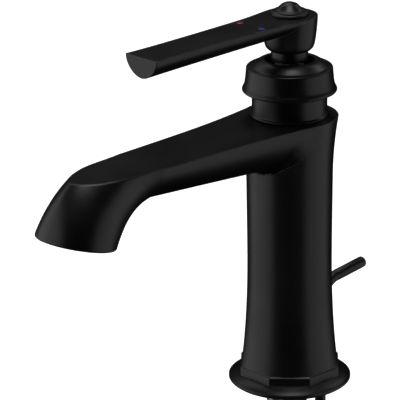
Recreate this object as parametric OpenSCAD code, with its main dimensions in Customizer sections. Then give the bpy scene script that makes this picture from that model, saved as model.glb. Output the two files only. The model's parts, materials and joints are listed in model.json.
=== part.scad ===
// Single-lever bathroom mixer: octagon-footed column, flat-topped spout, lever on a bell-shaped bonnet.
// Origin: column axis at the deck plane. +Z up, spout towards -Y. Millimetres.

/* [Base] */
// Radius of the round base flange
flange_r = 27.5; // [26.5:0.5:32]
// Height of the base flange above the deck
flange_h = 4.9; // [4.5:0.1:6]
// Thickness of the rubber gasket under the flange
gasket_t = 0.8; // [0.5:0.1:1.5]
// Distance from the axis to a flat of the octagonal plinth
plinth_apothem = 22; // [21.5:0.1:23]
// Height of the top edge of the plinth
plinth_top = 8.8; // [8:0.1:12]

/* [Column] */
// Column radius at its waist
waist_r = 18.9; // [18.4:0.1:20]
// Height of the waist
waist_z = 60; // [50:1:70]
// Extra radius of the column at its foot
foot_flare = 2.3; // [1.5:0.1:2.6]
// Extra radius of the column under the flat top
top_flare = 1.9; // [1:0.1:2.4]
// Height of the flat top face of the column
top_z = 125.15; // [125:0.05:125.4]

/* [Spout] */
// Downward slope of the spout's flat top, in degrees
spout_fall = 0.7; // [0:0.1:2]
// Forward distance from the axis to where the spout turns down
reach = 88; // [84:1:92]
// Height of the centre that the spout turns around
turn_z = 87.9; // [87:0.1:89]
// Half width of the outlet
outlet_half_w = 18; // [17:0.1:19]
// Angle of the outlet from the vertical face of the spout, about the turning centre
turn_angle = 75.9; // [72:0.1:80]

/* [Bonnet] */
// Radius of the collar that stands on the body
collar_r = 16.6; // [16.4:0.1:17]
// Height of the bottom edge of the bell
bell_z = 136.2; // [136:0.1:136.6]
// Radius of the hole in the top of the bell
bell_hole_r = 11.2; // [11.2:0.1:12]

/* [Lever] */
// Height of the lever's tilting axis
pivot_z = 145.5; // [145:0.1:146]
// Height of the lever's top over the axis
lever_z = 170.75; // [170:0.05:171]
// Forward distance from the axis to the end of the lever
lever_reach = 87; // [80:1:95]
// Narrowest half width of the lever
lever_half_w = 8.8; // [8:0.1:10]
// Downward slope of the lever, in degrees
lever_fall = 0.83; // [0:0.01:2]
// Radius of the neck under the lever
neck_r = 8.15; // [7.9:0.05:8.2]

/* [Lift rod] */
// Radius of the lift rod
rod_r = 2.5; // [2.3:0.05:2.5]
// Radius of the rod's lower end, where the drain's strap is clamped
rod_end_r = 2.1; // [2:0.05:2.1]
// Distance of the upright part of the rod behind the axis
rod_y = 20; // [19.8:0.1:20.2]
// Bend radius of the rod's centre line
rod_bend = 11.5; // [10:0.5:13]
// Upward slope of the rod's back end, in degrees
rod_slope = 7; // [4:1:10]
// Lowest point of the rod
rod_low = -46; // [-60:1:-40]

/* [Mounting] */
// Radius of the mounting stud
stud_r = 4; // [3.8:0.1:4]
// Forward distance of the stud from the axis
stud_y = 9; // [8.5:0.5:9]
// Lowest point of the stud
stud_low = -52; // [-70:1:-45]
// Height of the horseshoe gasket's top, where the underside of the deck would be
deck_under = -20; // [-30:1:-15]

/* [Hidden] */

$fn = 64;
black = [0.06, 0.06, 0.06];
eps = 0.01;

foot_z = flange_h;
spigot_r = 16.1;
cavity_r = 14.5;
cavity_y = -1.5;
cavity_top = 30;
bore_floor = 118;
bore_r = 13.2;
collar_spigot_r = 15.2;
collar_spigot_z = 119;
port_x = 6.5;
port_y = 4;
hose_r = 4.9;
cartridge_r = 12.6;
cartridge_in = 11.4;
rotor_r = 8.8;
disc_r = 8;
disc_y = 2.95;
running = 0.08;
outlet_r = 38.4;
outlet_depth_r = 16.93;
groove_r = rod_r + 0.3;
rod_bend_z = 30.2;
lever_crown = 0.3;
rod_end_h = 20;
mark_r = 1.3;
mark_x = 6.6;
mark_y = 23.5;
mark_z = lever_z - 0.75;

// ---------- shared shapes ----------

// Closed solid through rings of points, each ring with the same number of points.
module loft(rings) {
    n = len(rings[0]);
    last = (len(rings) - 1) * n;
    sides = [
        for (j = [0 : len(rings) - 2]) for (i = [0 : n - 1]) for (half = [0, 1])
            let (a = j * n + i, b = j * n + (i + 1) % n)
            half == 0 ? [a, b + n, b] : [a, a + n, b + n]
    ];
    start = [for (i = [0 : n - 1]) i];
    finish = [for (i = [n - 1 : -1 : 0]) last + i];
    polyhedron([for (ring = rings) for (p = ring) p], concat([start], sides, [finish]), convexity = 6);
}

module ring_solid(outer, inner, low, high) {
    difference() {
        translate([0, 0, low]) cylinder(r = outer, h = high - low);
        translate([0, 0, low - 1]) cylinder(r = inner, h = high - low + 2);
    }
}

module hexagon(across_flats, low, high) {
    translate([0, 0, low]) cylinder(r = across_flats / 2 / cos(30), h = high - low, $fn = 6);
}

function signed_pow(v, e) = sign(v) * pow(abs(v), e);

// ---------- cast body ----------

// Distance from the axis of an octagon (sharp = 1) or a circle (sharp = 0) in one direction.
function foot_distance(direction, r, sharp) =
    r * (1 - sharp + sharp / cos((direction + 22.5) % 45 - 22.5));

function column_r(z) = waist_r
    + foot_flare * pow(max(waist_z - z, 0) / (waist_z - 12), 2.2)
    + 0.3 * pow(max(z - waist_z, 0) / 38, 1.5)
    + top_flare * pow(max(z - 98, 0) / 26, 2);

function column_sharp(z) = pow(max(64 - z, 0) / 58, 2);

function column_ring(z, r, sharp) = [
    for (i = [0 : 31]) let (d = i * 11.25, q = foot_distance(d, r, sharp))
        [q * cos(d), q * sin(d), z]
];

module column() {
    heights = [
        plinth_top - 2, 10.5, 12, 14, 17, 20, 24, 28, 33, 38, 44, 51, 59, 68, 77, 86, 94, 101, 106, 110,
        114, 117, 120, 122.5, top_z
    ];
    loft([for (z = heights) column_ring(z, column_r(z), column_sharp(z))]);
}

module plinth() {
    translate([0, 0, foot_z]) rotate([0, 0, 22.5])
        cylinder(r = plinth_apothem / cos(22.5), h = plinth_top - foot_z, $fn = 8);
}

// Half width of the spout at a forward distance f.
function spout_half_w(f) = 16.8 - 0.0275 * f + 4.7 * exp(-pow(f / 26, 1.3));

// Height of the underside of the spout at a forward distance f.
function spout_under(f) = 102.95 + 0.0603 * f;

function turn_inner(a) = a < 40
    ? 18.3 + 2.07 * pow((40 - a) / 40, 2)
    : 18.3 + 3.2 * pow((a - 40) / 36, 2.5);
function turn_outer(a) = 50.9 + 4.4 * pow(max(a - 38, 0) / 38, 0.7);
function turn_centre(a) = 37.05 + 1.35 * pow(a / 76, 2);
function turn_half_w(a) = a < 20
    ? 13.4 + 1.03 * pow(1 - a / 20, 2)
    : 13.4 + (outlet_half_w - 13.4) * pow((a - 20) / 56, 1.7);
function outer_power(a) = 1.6 + 0.4 * pow(max(a - 45, 0) / 31, 1);

// One section of the spout, in the plane through (f, turn_z) that leans forward by angle a.
function spout_ring(f, a, inner, centre, outer, half_w, power) = [
    for (i = [0 : 27]) let (
        t = i * 360 / 28,
        e = sin(t) > 0 ? power : 2,
        side = half_w * signed_pow(cos(t), 2 / e),
        up = signed_pow(sin(t), 2 / e),
        d = centre + up * (up > 0 ? outer - centre : centre - inner)
    ) [side, -f - d * sin(a), turn_z + d * cos(a)]
];

module spout() {
    arm = [0, 6, 12, 18, 25, 33, 42, 54, 70];
    bend = [0 : turn_angle / 14 : turn_angle + eps];
    difference() {
        loft(concat(
            [for (f = arm) spout_ring(f, 0, spout_under(f) - turn_z, 37.05, 50.9, spout_half_w(f), 1.6)],
            [for (a = bend) spout_ring(reach, a, turn_inner(a), turn_centre(a), turn_outer(a),
                turn_half_w(a), outer_power(a))]
        ));
        translate([0, 0, top_z]) rotate([spout_fall, 0, 0]) translate([-40, -180, 0]) cube([80, 181, 60]);
    }
}

// Places its children at the outlet, with local +Z up into the spout.
module at_outlet() {
    translate([0, -reach - outlet_r * sin(turn_angle), turn_z + outlet_r * cos(turn_angle)])
        rotate([turn_angle - 90, 0, 0]) children();
}

module body_waterways() {
    for (side = [-1, 1]) {
        translate([side * port_x, port_y, cavity_top - 1]) cylinder(r = 4.5, h = 13);
        translate([side * port_x, port_y, cavity_top]) cylinder(r = 2.8, h = 100);
    }
    translate([0, -7.5, 112]) cylinder(r = 3.2, h = 20);
    translate([0, -4, 111.6]) rotate([90 - 3.2, 0, 0]) cylinder(r = 4.5, h = 113);
    at_outlet() {
        translate([0, 0, -5]) cylinder(r = 13.2, h = 6.5);
        cylinder(r = 11.5, h = 13);
        cylinder(r = 8, h = 17);
    }
}

module spout_body() {
    color(black) difference() {
        union() {
            plinth();
            column();
            spout();
            translate([0, 0, gasket_t]) cylinder(r = spigot_r, h = foot_z - gasket_t + 1);
        }
        translate([0, 0, bore_floor]) cylinder(r = bore_r, h = 20);
        translate([0, 0, collar_spigot_z]) cylinder(r = collar_spigot_r, h = 20);
        translate([0, cavity_y, -1]) cylinder(r = cavity_r, h = cavity_top + 1);
        translate([0, -stud_y, cavity_top - 1]) cylinder(r = stud_r, h = 13);
        translate([0, rod_y, -1]) cylinder(r = groove_r, h = 59);
        translate([-groove_r, rod_y, -1]) cube([2 * groove_r, 10, 59]);
        body_waterways();
    }
}

module base_flange() {
    color(black) difference() {
        rotate_extrude() polygon([
            [spigot_r, gasket_t], [flange_r - 0.5, gasket_t], [flange_r, gasket_t + 0.6],
            [flange_r, gasket_t + 1.4], [flange_r - 0.3, gasket_t + 1.9], [plinth_apothem + 0.8, flange_h],
            [spigot_r, flange_h]
        ]);
        translate([0, rod_y, 0]) cylinder(r = rod_r + 0.6, h = 10);
    }
}

module base_gasket() {
    color("dimgray") difference() {
        ring_solid(flange_r - 1.5, spigot_r, 0, gasket_t);
        translate([0, rod_y, -1]) cylinder(r = groove_r, h = 10);
    }
}

module rod_guide() {
    color("dimgray") translate([0, rod_y, 0]) ring_solid(rod_r + 0.6, rod_r + running, gasket_t, flange_h);
}

// ---------- bonnet ----------

module body_collar() {
    color(black) difference() {
        rotate_extrude() polygon([
            [bore_r, collar_spigot_z], [collar_spigot_r, collar_spigot_z], [collar_spigot_r, top_z],
            [collar_r + 0.5, top_z], [collar_r + 0.8, top_z + 0.6], [collar_r + 0.5, top_z + 1.2],
            [collar_r, top_z + 1.6], [collar_r, bell_z + 0.7], [collar_r - 0.6, bell_z + 0.7],
            [collar_r - 0.6, 141], [bore_r, 141]
        ]);
        translate([0, 0, 133]) cylinder(r = 14.2, h = 10);
    }
}

// The bell's outer outline, from its bottom edge up to the hole in its top.
function bell_outline() = [
    [20.3, bell_z], [20.75, bell_z + 0.35], [20.9, bell_z + 0.9], [20.6, bell_z + 1.7], [20.1, bell_z + 2.6],
    [19.8, bell_z + 3.6], [19.5, bell_z + 5.6], [19.25, bell_z + 8], [19.1, bell_z + 10.2],
    [18.9, bell_z + 10.7], [18.5, bell_z + 11], [17.9, bell_z + 11.1], [16.9, bell_z + 11.4],
    [15.7, bell_z + 12.3], [14.5, bell_z + 13.2], [13.3, bell_z + 13.9], [12.4, bell_z + 14.2],
    [11.6, bell_z + 14.1], [bell_hole_r, bell_z + 13.7]
];

module bonnet_bell() {
    color(black) rotate_extrude() polygon(concat(bell_outline(), [
        [bell_hole_r, 148.6], [12.6, 148.6], [15.4, 146], [15.9, 145], [15.9, 141.2],
        [collar_r - 0.6, 141.2], [collar_r - 0.6, bell_z + 0.7], [collar_r + 0.1, bell_z + 0.7],
        [collar_r + 0.1, bell_z]
    ]));
}

// ---------- cartridge ----------

module cartridge_nut() {
    color("goldenrod") difference() {
        union() {
            translate([0, 0, 134]) cylinder(r = 14.2, h = 7);
            hexagon(26, 141, 144.5);
        }
        translate([0, 0, 133]) cylinder(r = 10.7, h = 13);
    }
}

module cartridge_housing() {
    color("ivory") difference() {
        union() {
            translate([0, 0, 118.2]) cylinder(r = cartridge_r, h = 15.8);
            translate([0, 0, 134]) cylinder(r = 10.7, h = 8);
        }
        translate([0, 0, 117]) cylinder(r = cartridge_in, h = 15.5);
        translate([0, 0, 132]) cylinder(r = rotor_r + running, h = 12);
    }
}

// Centres of the cold, hot and mixed water ports.
port_places = [[-port_x + 1, port_y - 0.5], [port_x - 1, port_y - 0.5], [0, -7]];

module cartridge_base() {
    color("gray") difference() {
        translate([0, 0, 118.2]) cylinder(r = cartridge_in, h = 2.8);
        for (p = port_places) {
            translate([p.x, p.y, 117]) cylinder(r = 2.6, h = 6);
            translate([p.x, p.y, 117]) cylinder(r = 3.8, h = 2.6);
        }
    }
}

module port_seals() {
    color("dimgray") for (p = port_places) translate([p.x, p.y, 0]) ring_solid(3.8, 2.6, bore_floor, 119.6);
}

module ceramic_fixed_disc() {
    color("whitesmoke") difference() {
        translate([0, 0, 121]) cylinder(r = cartridge_in, h = 3);
        for (p = port_places) translate([p.x, p.y, 120]) cylinder(r = 2.6, h = 6);
    }
}

module ceramic_moving_disc() {
    color("whitesmoke") translate([0, disc_y, 0]) difference() {
        translate([0, 0, 124.05]) cylinder(r = disc_r, h = 2.45);
        translate([0, -1.5, 123]) cylinder(r = 3.6, h = 2.6);
    }
}

module disc_carrier() {
    color("gray") difference() {
        translate([0, disc_y, 126.5]) cylinder(r = disc_r, h = 3.7);
        translate([-3.2, -1.6, 127]) cube([6.4, 3.2, 4]);
    }
}

module cartridge_rotor() {
    color("gray") difference() {
        union() {
            translate([0, 0, 130.4]) cylinder(r = cartridge_in - 0.4, h = 1.9);
            translate([0, 0, 130.4]) cylinder(r = rotor_r, h = 11.8);
            translate([0, 0, 142]) cylinder(r = 7, h = 5.4);
            translate([-1.5, 6.4, 142]) cube([3, 3.7, 1.4]);
        }
        translate([-3.1, 0, 0]) rotate([90, 0, 90]) linear_extrude(6.2) polygon([
            [-3.5, 149], [-3.5, pivot_z], [-8.2, 130], [3.1, 130], [3.1, 142.5], [4.6, 149]
        ]);
        translate([-10, 0, pivot_z]) rotate([0, 90, 0]) cylinder(r = 1, h = 20);
    }
}

module stem_pin() {
    color("silver") translate([-6.8, 0, pivot_z]) rotate([0, 90, 0]) cylinder(r = 1, h = 13.6);
}

// Fixed ring on the cartridge whose open quarter lets the rotor's tab turn 45 degrees each way.
module temperature_stop() {
    color("crimson") difference() {
        ring_solid(10.6, 9.3, 142, 143.5);
        translate([0, 0, 140]) linear_extrude(6) polygon([
            [0, 0], [20 * cos(33), 20 * sin(33)], [20, 40], [-20, 40], [-20 * cos(33), 20 * sin(33)]
        ]);
    }
}

module cartridge_stem() {
    color("silver") difference() {
        union() {
            translate([-2.8, -2.8, 142]) cube([5.6, 5.6, 20.5]);
            translate([-2.8, -2.2, 133]) cube([5.6, 4.4, 9.1]);
            translate([-2.8, -1.1, 128.6]) cube([5.6, 2.2, 4.5]);
            translate([-2.8, 0, 128.6]) rotate([0, 90, 0]) cylinder(r = 1.5, h = 5.6);
        }
        translate([0, 0, 150]) cylinder(r = 2, h = 20);
        translate([-10, 0, pivot_z]) rotate([0, 90, 0]) cylinder(r = 1 + running, h = 20);
    }
}

// ---------- lever ----------

module stem_adapter() {
    color("gray") difference() {
        translate([0, 0, 156]) cylinder(r = 6.2, h = 6.9);
        translate([-2.8, -2.8, 155]) cube([5.6, 5.6, 9]);
    }
}

module handle_neck() {
    color(black) difference() {
        translate([0, 0, 150.2]) cylinder(r = neck_r, h = 5.6);
        translate([-2.8, -2.8, 149]) cube([5.6, 5.6, 9]);
    }
}

function lever_half(f) = lever_half_w
    + 1.9 * pow(1 - f / lever_reach, 1.5)
    + 0.8 * pow(f / lever_reach, 6)
    + 1.6 * exp(-pow(f / 12, 2));
function lever_depth(f) = 7.9 + 1.3 * f / lever_reach;

// Height of the lever's two upper edges at a forward distance f.
function lever_edge(f) = lever_z - lever_crown - f * tan(lever_fall);

// One D-shaped section of the lever at a forward distance f: slightly crowned top, round underside.
function lever_ring(f) = [
    for (i = [0 : 23]) let (
        t = i * 15,
        up = sin(t),
        side = up > 0 ? cos(t) : signed_pow(cos(t), 1.1),
        rise = up > 0 ? up * lever_crown : signed_pow(up, 1.1) * lever_depth(f)
    ) [lever_half(f) * side, -f, lever_edge(f) + rise]
];

module lever_handle() {
    color(black) difference() {
        union() {
            rotate_extrude() polygon([
                [0, 154.6], [neck_r, 154.6], [9.2, 155.05], [10.3, 156], [10.9, 157.4], [11.5, 160.5],
                [12.1, 166], [12.35, lever_z - 0.6], [12.2, lever_z - lever_crown], [0, lever_z]
            ]);
            loft([for (f = [0, 6, 10, 14, 19, 25, 33, 45, 60, 75, lever_reach]) lever_ring(f)]);
        }
        translate([0, 0, 153]) cylinder(r = neck_r, h = 2.8);
        translate([0, 0, 155]) cylinder(r = 6.2, h = 7.9);
        translate([0, 0, 160]) cylinder(r = 2.1, h = 20);
        translate([0, 0, 165.5]) cylinder(r = 4.3, h = 20);
        for (side = [-1, 1])
            translate([side * mark_x, -mark_y, mark_z]) cylinder(r = mark_r, h = 2);
    }
}

module handle_screw() {
    color("silver") difference() {
        union() {
            translate([0, 0, 151]) cylinder(r = 2, h = 14.6);
            translate([0, 0, 165.5]) cylinder(r = 3.5, h = 2.4);
        }
        hexagon(2.5, 166.2, 170);
    }
}

module finial_cap() {
    color(black) rotate_extrude() polygon([
        [0, 168.2], [4.3, 168.2], [4.3, lever_z], [8.3, lever_z], [8.45, lever_z + 0.4],
        [8.2, lever_z + 0.85], [7.5, lever_z + 1], [7.4, lever_z + 1.55], [7.1, lever_z + 1.8],
        [6.5, lever_z + 1.9], [6.1, lever_z + 2.1], [5.4, lever_z + 2.55], [4.6, lever_z + 3.4],
        [3.5, lever_z + 4.4], [1.9, lever_z + 5.1], [0, lever_z + 5.35]
    ]);
}

module mark(side) {
    translate([side, -mark_y, mark_z]) cylinder(r = mark_r, h = 0.5);
}

module hot_mark() {
    color("red") mark(-mark_x);
}

module cold_mark() {
    color("blue") mark(mark_x);
}

// ---------- lift rod and mounting set ----------

module lift_rod() {
    color(black) {
        translate([0, rod_y, rod_low]) cylinder(r = rod_end_r, h = rod_end_h + 1);
        translate([0, rod_y, rod_low + rod_end_h]) cylinder(r = rod_r, h = rod_bend_z - rod_low - rod_end_h);
        translate([0, rod_y + rod_bend, rod_bend_z]) rotate([90, 0, -90])
            rotate_extrude(angle = 90 - rod_slope) translate([rod_bend, 0]) circle(r = rod_r);
        translate([0, rod_y + rod_bend - rod_bend * sin(rod_slope), rod_bend_z + rod_bend * cos(rod_slope)])
            rotate([rod_slope - 90, 0, 0]) {
                translate([0, 0, -1]) cylinder(r = rod_r + 0.1, h = 18);
                translate([0, 0, 17]) cylinder(r1 = rod_r + 0.1, r2 = rod_r - 0.7, h = 0.8);
            }
    }
}

module mounting_stud() {
    color("silver") translate([0, -stud_y, stud_low]) cylinder(r = stud_r, h = 42 - stud_low);
}

module horseshoe(low, high) {
    difference() {
        translate([0, 4.5, low]) cylinder(r = 21.5, h = high - low);
        for (side = [-1, 1])
            translate([side * port_x, port_y, low - 1]) cylinder(r = hose_r, h = high - low + 2);
        translate([-port_x, port_y - hose_r, low - 1]) cube([2 * port_x, 40, high - low + 2]);
        translate([-port_x - hose_r, port_y, low - 1]) cube([2 * (port_x + hose_r), 40, high - low + 2]);
        translate([0, -stud_y, low - 1]) cylinder(r = stud_r + 0.2, h = high - low + 2);
    }
}

module horseshoe_gasket() {
    color("dimgray") horseshoe(deck_under - 2.2, deck_under);
}

module horseshoe_plate() {
    color("silver") horseshoe(deck_under - 4.2, deck_under - 2.2);
}

module stud_nut() {
    color("goldenrod") translate([0, -stud_y, 0]) difference() {
        hexagon(13, deck_under - 10.7, deck_under - 4.2);
        translate([0, 0, deck_under - 12]) cylinder(r = stud_r, h = 10);
    }
}

// ---------- aerator ----------

module aerator_housing() {
    color("silver") at_outlet() difference() {
        union() {
            translate([0, 0, 0.2]) cylinder(r = 13, h = 1.3);
            translate([0, 0, 1.5]) cylinder(r = 11.5, h = 8.5);
        }
        translate([0, 0, -1]) cylinder(r = 9.8, h = 14);
    }
}

module aerator_insert() {
    color("gainsboro") at_outlet() difference() {
        translate([0, 0, 1]) cylinder(r = 9.8, h = 7);
        for (ring = [1 : 3]) for (i = [0 : ring * 6 - 1])
            rotate([0, 0, i * 60 / ring]) translate([ring * 2.7, 0, 0]) cylinder(r = 0.9, h = 9, $fn = 24);
        cylinder(r = 0.9, h = 9, $fn = 24);
    }
}

module aerator_washer() {
    color("dimgray") at_outlet() ring_solid(11.5, 9, 10, 12);
}

spout_body();
base_flange();
base_gasket();
rod_guide();
body_collar();
bonnet_bell();
cartridge_nut();
cartridge_housing();
cartridge_base();
port_seals();
ceramic_fixed_disc();
temperature_stop();
aerator_housing();
aerator_insert();
aerator_washer();
mounting_stud();
horseshoe_gasket();
horseshoe_plate();
stud_nut();
cartridge_rotor();
stem_pin();
disc_carrier();
ceramic_moving_disc();
cartridge_stem();
stem_adapter();
handle_neck();
lever_handle();
handle_screw();
finial_cap();
hot_mark();
cold_mark();
lift_rod();
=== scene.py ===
"""Looks of a single-lever bathroom mixer in satin black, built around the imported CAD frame.

Lengths are in millimetres in the mesh code, and MM turns them into metres when a mesh is made.
"""
import json
import math

import bmesh
import bpy
import numpy as np
from mathutils import Matrix, Vector


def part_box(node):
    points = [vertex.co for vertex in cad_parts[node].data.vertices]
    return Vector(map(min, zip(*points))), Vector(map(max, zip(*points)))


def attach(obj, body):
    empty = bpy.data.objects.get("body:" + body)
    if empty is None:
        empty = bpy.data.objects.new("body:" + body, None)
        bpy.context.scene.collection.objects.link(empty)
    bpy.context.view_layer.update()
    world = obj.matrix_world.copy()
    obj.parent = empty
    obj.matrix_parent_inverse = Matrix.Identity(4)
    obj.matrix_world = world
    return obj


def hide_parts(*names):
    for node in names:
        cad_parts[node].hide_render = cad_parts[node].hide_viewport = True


MM = 0.001

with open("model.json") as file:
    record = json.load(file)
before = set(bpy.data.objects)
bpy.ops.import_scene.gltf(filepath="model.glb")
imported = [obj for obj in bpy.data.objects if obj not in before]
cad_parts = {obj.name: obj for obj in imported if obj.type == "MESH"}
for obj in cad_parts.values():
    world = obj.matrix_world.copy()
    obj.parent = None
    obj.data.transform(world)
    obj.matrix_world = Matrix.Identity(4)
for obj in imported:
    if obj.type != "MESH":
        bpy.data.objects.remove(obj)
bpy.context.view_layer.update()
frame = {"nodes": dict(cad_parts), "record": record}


# ---------- places read from the frame ----------

def span(node, axis):
    """Lowest and highest value of a CAD node along an axis (0, 1 or 2), in millimetres."""
    low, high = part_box(node)
    return low[axis] / MM, high[axis] / MM


FLANGE_R = span("base_flange", 0)[1]
GASKET_T = span("base_gasket", 2)[1]
FLANGE_TOP = span("base_flange", 2)[1]
COLLAR_TOP = span("body_collar", 2)[1]
BELL_Z = span("bonnet_bell", 2)[0]
LEVER_REACH = -span("lever_handle", 1)[0]
LEVER_Z = span("lever_handle", 2)[1]
NECK_R = span("handle_neck", 0)[1]
ROD_LOW = span("lift_rod", 2)[0]
STUD_LOW, STUD_HIGH = span("mounting_stud", 2)
STUD_R = span("mounting_stud", 0)[1]
NUT_LOW, NUT_HIGH = span("stud_nut", 2)

# (x, y) of upright axes, the same as in the CAD parts.
STUD_AT = (0, -9)
ROD_AT = (0, 20)
DECK_HOLE_AT = (0, 4.5)
CAVITY_AT = (0, -1.5)
MIXED_WATER_AT = (0, -7.5)
PORT_X, PORT_Y = 6.5, 4


# ---------- mesh helpers ----------

def new_object(name, vertices, faces):
    """Mesh object from vertices in millimetres, with faces turned outwards."""
    mesh = bpy.data.meshes.new(name)
    mesh.from_pydata([tuple(v) for v in np.asarray(vertices, float) * MM], [], faces)
    work = bmesh.new()
    work.from_mesh(mesh)
    bmesh.ops.remove_doubles(work, verts=work.verts, dist=2e-6)
    bmesh.ops.recalc_face_normals(work, faces=work.faces)
    work.to_mesh(mesh)
    work.free()
    item = bpy.data.objects.new(name, mesh)
    bpy.context.scene.collection.objects.link(item)
    return item


def skin(name, rings):
    """Closed surface through rings of points, each ring with the same number of points."""
    count = len(rings[0])
    vertices = np.concatenate([np.asarray(ring, float) for ring in rings])
    faces = []
    for j in range(len(rings) - 1):
        for i in range(count):
            k = (i + 1) % count
            faces.append((j * count + i, j * count + k, (j + 1) * count + k, (j + 1) * count + i))
    faces.append(tuple(range(count)))
    faces.append(tuple(range(len(vertices) - 1, len(vertices) - 1 - count, -1)))
    return new_object(name, vertices, faces)


def lathe(name, outline, sides=160, centre=(0, 0)):
    """Solid of revolution about a vertical axis. The outline is a closed loop of (radius, height)."""
    points = np.asarray(outline, float)
    count = len(points)
    turn = np.arange(sides) * 2 * math.pi / sides
    vertices = [
        (centre[0] + r * math.cos(t), centre[1] + r * math.sin(t), z) for t in turn for r, z in points
    ]
    faces = []
    for s in range(sides):
        n = (s + 1) % sides
        for i in range(count):
            k = (i + 1) % count
            if points[i][0] == 0 and points[k][0] == 0:
                continue
            face = [s * count + i, s * count + k, n * count + k, n * count + i]
            if points[i][0] == 0:
                face = face[:3]
            elif points[k][0] == 0:
                face = [face[0], face[1], face[3]]
            faces.append(tuple(face))
    return new_object(name, vertices, faces)


def curve(points, steps=5):
    """Smooth run through outline points (Catmull-Rom), both ends included."""
    p = [np.array(q, float) for q in points]
    p = [2 * p[0] - p[1]] + p + [2 * p[-1] - p[-2]]
    out = []
    for a, b, c, d in zip(p, p[1:], p[2:], p[3:]):
        for i in range(steps):
            t = i / steps
            out.append(0.5 * (2 * b + (c - a) * t + (2 * a - 5 * b + 4 * c - d) * t ** 2
                              + (3 * b - a - 3 * c + d) * t ** 3))
    out.append(p[-2])
    return [tuple(q) for q in out]


def fillet(outline, radius):
    """Closed (radius, height) outline with every corner off the axis rounded."""
    out = []
    steps = 4
    most_of_side = 0.45
    count = len(outline)
    for i in range(count):
        before, corner, after = (np.array(outline[(i + k) % count], float) for k in (-1, 0, 1))
        if corner[0] == 0:
            out.append(tuple(corner))
            continue
        into, away = before - corner, after - corner
        reach = min(radius, most_of_side * np.linalg.norm(into), most_of_side * np.linalg.norm(away))
        start = corner + into / np.linalg.norm(into) * reach
        end = corner + away / np.linalg.norm(away) * reach
        for k in range(steps + 1):
            t = k / steps
            out.append(tuple((1 - t) ** 2 * start + 2 * t * (1 - t) * corner + t ** 2 * end))
    return out


def rod_between(name, radius, low, high, centre=(0, 0), sides=64):
    """Upright cylinder, used as a drill."""
    return lathe(name, [(0, low), (radius, low), (radius, high), (0, high)], sides, centre)


def block(name, low, high):
    """Box between two corners, used as a cutter."""
    x0, y0, z0 = low
    x1, y1, z1 = high
    return skin(name, [[(x0, y0, z), (x1, y0, z), (x1, y1, z), (x0, y1, z)] for z in (z0, z1)])


def hexagon(name, across_flats, low, high, centre=(0, 0)):
    """Hexagonal prism with chamfered corners top and bottom."""
    corner = across_flats / 2 / math.cos(math.pi / 6)
    turn = [i * math.pi / 3 for i in range(6)]

    def ring(z):
        return [(centre[0] + corner * math.cos(t), centre[1] + corner * math.sin(t), z) for t in turn]

    prism = skin(name, [ring(low), ring(high)])
    flat = across_flats / 2
    barrel = lathe(name + "_barrel", [
        (0, low), (flat, low), (corner + 0.1, low + 0.45), (corner + 0.1, high - 0.45), (flat, high),
        (0, high)
    ], 96, centre)
    return combine(prism, barrel, "INTERSECT")


def place(item, matrix):
    """Moves a mesh's vertices by a matrix whose shift is in millimetres."""
    scaled = matrix.copy()
    scaled.translation = matrix.translation * MM
    item.data.transform(scaled)
    return item


def combine(target, tool, operation):
    """Exact boolean of two closed meshes. The tool is used up."""
    modifier = target.modifiers.new("boolean", "BOOLEAN")
    modifier.object = tool
    modifier.operation = operation
    modifier.solver = "EXACT"
    graph = bpy.context.evaluated_depsgraph_get()
    mesh = bpy.data.meshes.new_from_object(target.evaluated_get(graph))
    target.modifiers.clear()
    old = target.data
    target.data = mesh
    bpy.data.meshes.remove(old)
    bpy.data.objects.remove(tool)
    return target


def joined(tools):
    """One cutter from several overlapping ones."""
    first = tools[0]
    for tool in tools[1:]:
        combine(first, tool, "UNION")
    return first


def smooth_shade(item, degrees=32):
    """Smooth shading with sharp creases, and crisp edges round every large flat face."""
    mesh = item.data
    mesh.polygons.foreach_set("use_smooth", [True] * len(mesh.polygons))
    mesh.set_sharp_from_angle(angle=math.radians(degrees))
    work = bmesh.new()
    work.from_mesh(mesh)
    flat_area = 12 * MM * MM
    least_turn = 0.03
    for edge in work.edges:
        if len(edge.link_faces) != 2:
            continue
        one, two = edge.link_faces
        beside_flat = max(one.calc_area(), two.calc_area()) > flat_area
        if beside_flat and one.normal.angle(two.normal, 0) > least_turn:
            edge.smooth = False
    work.to_mesh(mesh)
    work.free()
    return item


# ---------- rounded flat tops ----------

def roof_height(y, level, fall):
    """Height of a flat top that runs level behind the axis and falls towards the front."""
    return level + min(y, 0) * fall


def roof_cutter(level, fall):
    """Everything above the flat top."""
    far, back, sky, wide = -200, 80, 260, 70
    side = [(far, roof_height(far, level, fall)), (0, level), (back, level), (back, sky), (far, sky)]
    return skin("roof_cutter", [[(x, y, z) for y, z in side] for x in (-wide, wide)])


def boundary_loop(work):
    """Vertices of the one open edge loop of a bmesh, in order."""
    edges = {e for e in work.edges if e.is_boundary}
    start = next(iter(sorted(edges, key=lambda e: e.index)))
    loop = [start.verts[0]]
    edge = start
    while True:
        vertex = edge.other_vert(loop[-1])
        if vertex is loop[0]:
            return loop
        loop.append(vertex)
        edge = next(e for e in vertex.link_edges if e in edges and e is not edge)


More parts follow.
